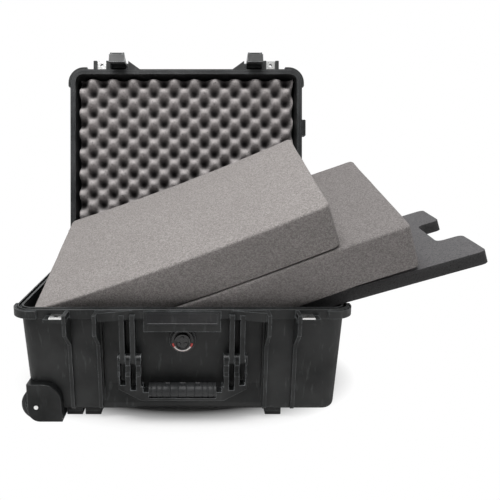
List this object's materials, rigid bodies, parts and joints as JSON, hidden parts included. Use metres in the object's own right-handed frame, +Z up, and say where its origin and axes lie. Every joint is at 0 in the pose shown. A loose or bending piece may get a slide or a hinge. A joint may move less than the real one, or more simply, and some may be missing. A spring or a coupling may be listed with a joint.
{
  "type": "wheeled hard case",
  "caption": "Open black hard equipment case with egg-crate lid foam, thick grey foam layers fanned out over one end, latches, fold-down handle, wheels and pull-out trolley handle.",
  "frame": {"origin": "on the floor under the middle of the base's rim, at the undersides of the feet", "axes": "+X to the right along the front (the trolley handle's end), +Y from the front to the hinge side, +Z up"},
  "size_m": [0.7951, 0.5964, 0.6549],
  "materials": {
    "shell_plastic": "satin moulded",
    "steel": "bright",
    "soft_rubber": "matt",
    "wheel_tread": "matt",
    "valve_plastic": "semi-gloss",
    "ring_red": "semi-gloss",
    "plate_grey": "satin",
    "tube_aluminium": "satin",
    "foam_lid": "open-cell foam",
    "foam_grey": "open-cell foam",
    "foam_black": "closed-cell foam"
  },
  "bodies": {
    "base": {"base_shell": "shell_plastic", "base_rim": "shell_plastic", "base_front_ribs": "shell_plastic", "rubber_feet": "soft_rubber", "name_plate": "plate_grey", "padlock_plates_base": "steel", "valve_gasket": "soft_rubber", "valve_body": "valve_plastic", "valve_ring": "ring_red", "valve_nut": "valve_plastic", "hinge_pins": "steel", "handle_pins": "steel", "wheel_front_housing": "shell_plastic", "wheel_front_axle": "steel", "wheel_rear_housing": "shell_plastic", "wheel_rear_axle": "steel", "trolley_outer_tubes": "tube_aluminium", "trolley_saddles": "shell_plastic", "saddle_screws": "steel"},
    "lid": {"lid_shell": "shell_plastic", "lid_seal": "soft_rubber", "lid_foam": "foam_lid", "padlock_plates_lid": "steel", "latch_pins": "steel"},
    "latch_left": {"latch_left_arm": "shell_plastic", "latch_left_tab_pin": "steel"},
    "latch_left_pull": {"latch_left_tab": "shell_plastic"},
    "latch_right": {"latch_right_arm": "shell_plastic", "latch_right_tab_pin": "steel"},
    "latch_right_pull": {"latch_right_tab": "shell_plastic"},
    "handle": {"front_handle": "shell_plastic", "handle_grip": "soft_rubber"},
    "wheel_front": {"wheel_front_tread": "wheel_tread", "wheel_front_hub": "shell_plastic", "wheel_front_bearing": "steel"},
    "wheel_rear": {"wheel_rear_tread": "wheel_tread", "wheel_rear_hub": "shell_plastic", "wheel_rear_bearing": "steel"},
    "trolley": {"trolley_inner_tubes": "tube_aluminium", "trolley_stop_bushes": "shell_plastic", "trolley_sockets": "shell_plastic", "trolley_grip": "shell_plastic"},
    "trolley_release": {"trolley_button": "valve_plastic"},
    "knob": {"valve_knob": "valve_plastic"},
    "layer_top": {"foam_top": "foam_grey"},
    "layer_middle": {"foam_middle": "foam_grey"},
    "layer_pad": {"foam_pad": "foam_black"}
  },
  "joints": [
    {"name": "lid_hinge", "type": "hinge", "parent": "base", "child": "lid", "pos_m": [0, 0.219, 0.2], "axis": [-1, 0, 0], "range_deg": [-102, 0], "deforming": ["foam_top", "foam_middle", "foam_pad"]},
    {"name": "latch_left_swing", "type": "hinge", "parent": "lid", "child": "latch_left", "pos_m": [-0.16, 0.32809, 0.62664], "axis": [-1, 0, 0], "range_deg": [-14, 78]},
    {"name": "latch_left_pull", "type": "hinge", "parent": "latch_left", "child": "latch_left_pull", "pos_m": [-0.16, 0.29878, 0.65095], "axis": [1, 0, 0], "range_deg": [0, 55]},
    {"name": "latch_right_swing", "type": "hinge", "parent": "lid", "child": "latch_right", "pos_m": [0.16, 0.32809, 0.62664], "axis": [-1, 0, 0], "range_deg": [-14, 78]},
    {"name": "latch_right_pull", "type": "hinge", "parent": "latch_right", "child": "latch_right_pull", "pos_m": [0.16, 0.29878, 0.65095], "axis": [1, 0, 0], "range_deg": [0, 55]},
    {"name": "front_handle_swing", "type": "hinge", "parent": "base", "child": "handle", "pos_m": [0, -0.208, 0.113], "axis": [-1, 0, 0], "range_deg": [0, 95]},
    {"name": "wheel_front_spin", "type": "hinge", "parent": "base", "child": "wheel_front", "pos_m": [-0.243, -0.191, 0.0287], "axis": [0, 1, 0], "continuous": true},
    {"name": "wheel_rear_spin", "type": "hinge", "parent": "base", "child": "wheel_rear", "pos_m": [-0.243, 0.191, 0.0287], "axis": [0, 1, 0], "continuous": true},
    {"name": "trolley_slide", "type": "slide", "parent": "base", "child": "trolley", "axis": [1, 0, 0], "range_m": [0, 0.36]},
    {"name": "trolley_button_press", "type": "slide", "parent": "trolley", "child": "trolley_release", "axis": [-1, 0, 0], "range_m": [0, 0.002], "stiffness_N_per_m": 400},
    {"name": "valve_knob_turn", "type": "hinge", "parent": "base", "child": "knob", "pos_m": [0, -0.2, 0.142], "axis": [0, -1, 0], "range_deg": [0, 180]},
    {"name": "foam_top_lift", "type": "slide", "parent": "base", "child": "layer_top", "axis": [0.9359, -0.0805, 0.343], "range_m": [0, 0.55]},
    {"name": "foam_middle_lift", "type": "slide", "parent": "base", "child": "layer_middle", "axis": [0.9362, -0.0831, 0.3414], "range_m": [0, 0.55]},
    {"name": "foam_pad_lift", "type": "slide", "parent": "base", "child": "layer_pad", "axis": [0.9385, -0.1157, 0.3253], "range_m": [0, 0.55]}
  ]
}
